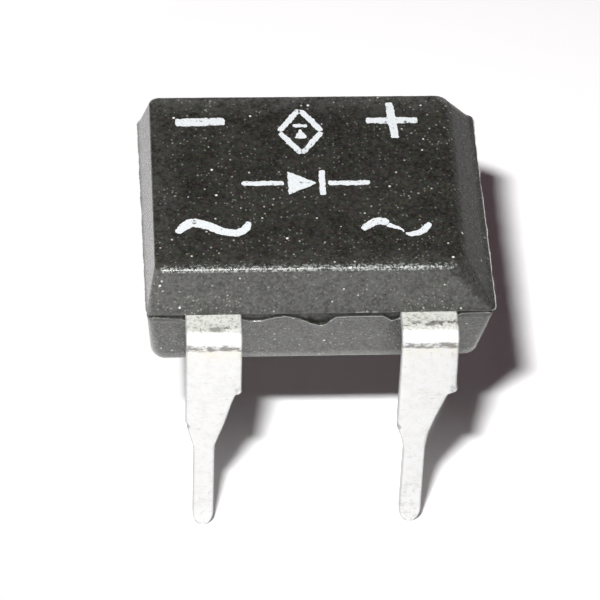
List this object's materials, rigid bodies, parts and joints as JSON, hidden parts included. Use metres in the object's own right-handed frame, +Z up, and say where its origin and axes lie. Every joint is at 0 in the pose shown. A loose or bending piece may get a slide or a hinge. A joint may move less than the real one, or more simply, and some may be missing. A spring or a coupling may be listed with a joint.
{
  "type": "bridge rectifier",
  "caption": "Moulded dual-in-line bridge rectifier: a black epoxy block on tapered tin-plated leads, with diode chips and lead frame inside and a bevel on the positive end.",
  "frame": {"origin": "on the board plane under the middle of the body, where the lead tips stand", "axes": "+X along the body towards the positive end, +Y from the alternating-current leads to the direct-current leads, +Z up out of the board"},
  "size_m": [0.0082, 0.0088, 0.0074],
  "materials": {
    "epoxy": "fine-grained moulded epoxy, dusty, with worn white print",
    "tinned_lead": "dull tin plate over copper, scuffed, with small shear burrs",
    "silicon": "lapped silicon with a glass-passivated rim",
    "solder": "reflowed solder"
  },
  "bodies": {
    "root": {"moulded_body": "epoxy", "ac_lead_left": "tinned_lead", "ac_lead_right": "tinned_lead", "negative_lead": "tinned_lead", "positive_lead": "tinned_lead", "chip_left_front": "silicon", "chip_right_front": "silicon", "chip_left_back": "silicon", "chip_right_back": "silicon", "lower_solder_left_front": "solder", "lower_solder_right_front": "solder", "lower_solder_left_back": "solder", "lower_solder_right_back": "solder", "upper_solder_left_front": "solder", "upper_solder_right_front": "solder", "upper_solder_left_back": "solder", "upper_solder_right_back": "solder"}
  },
  "joints": []
}
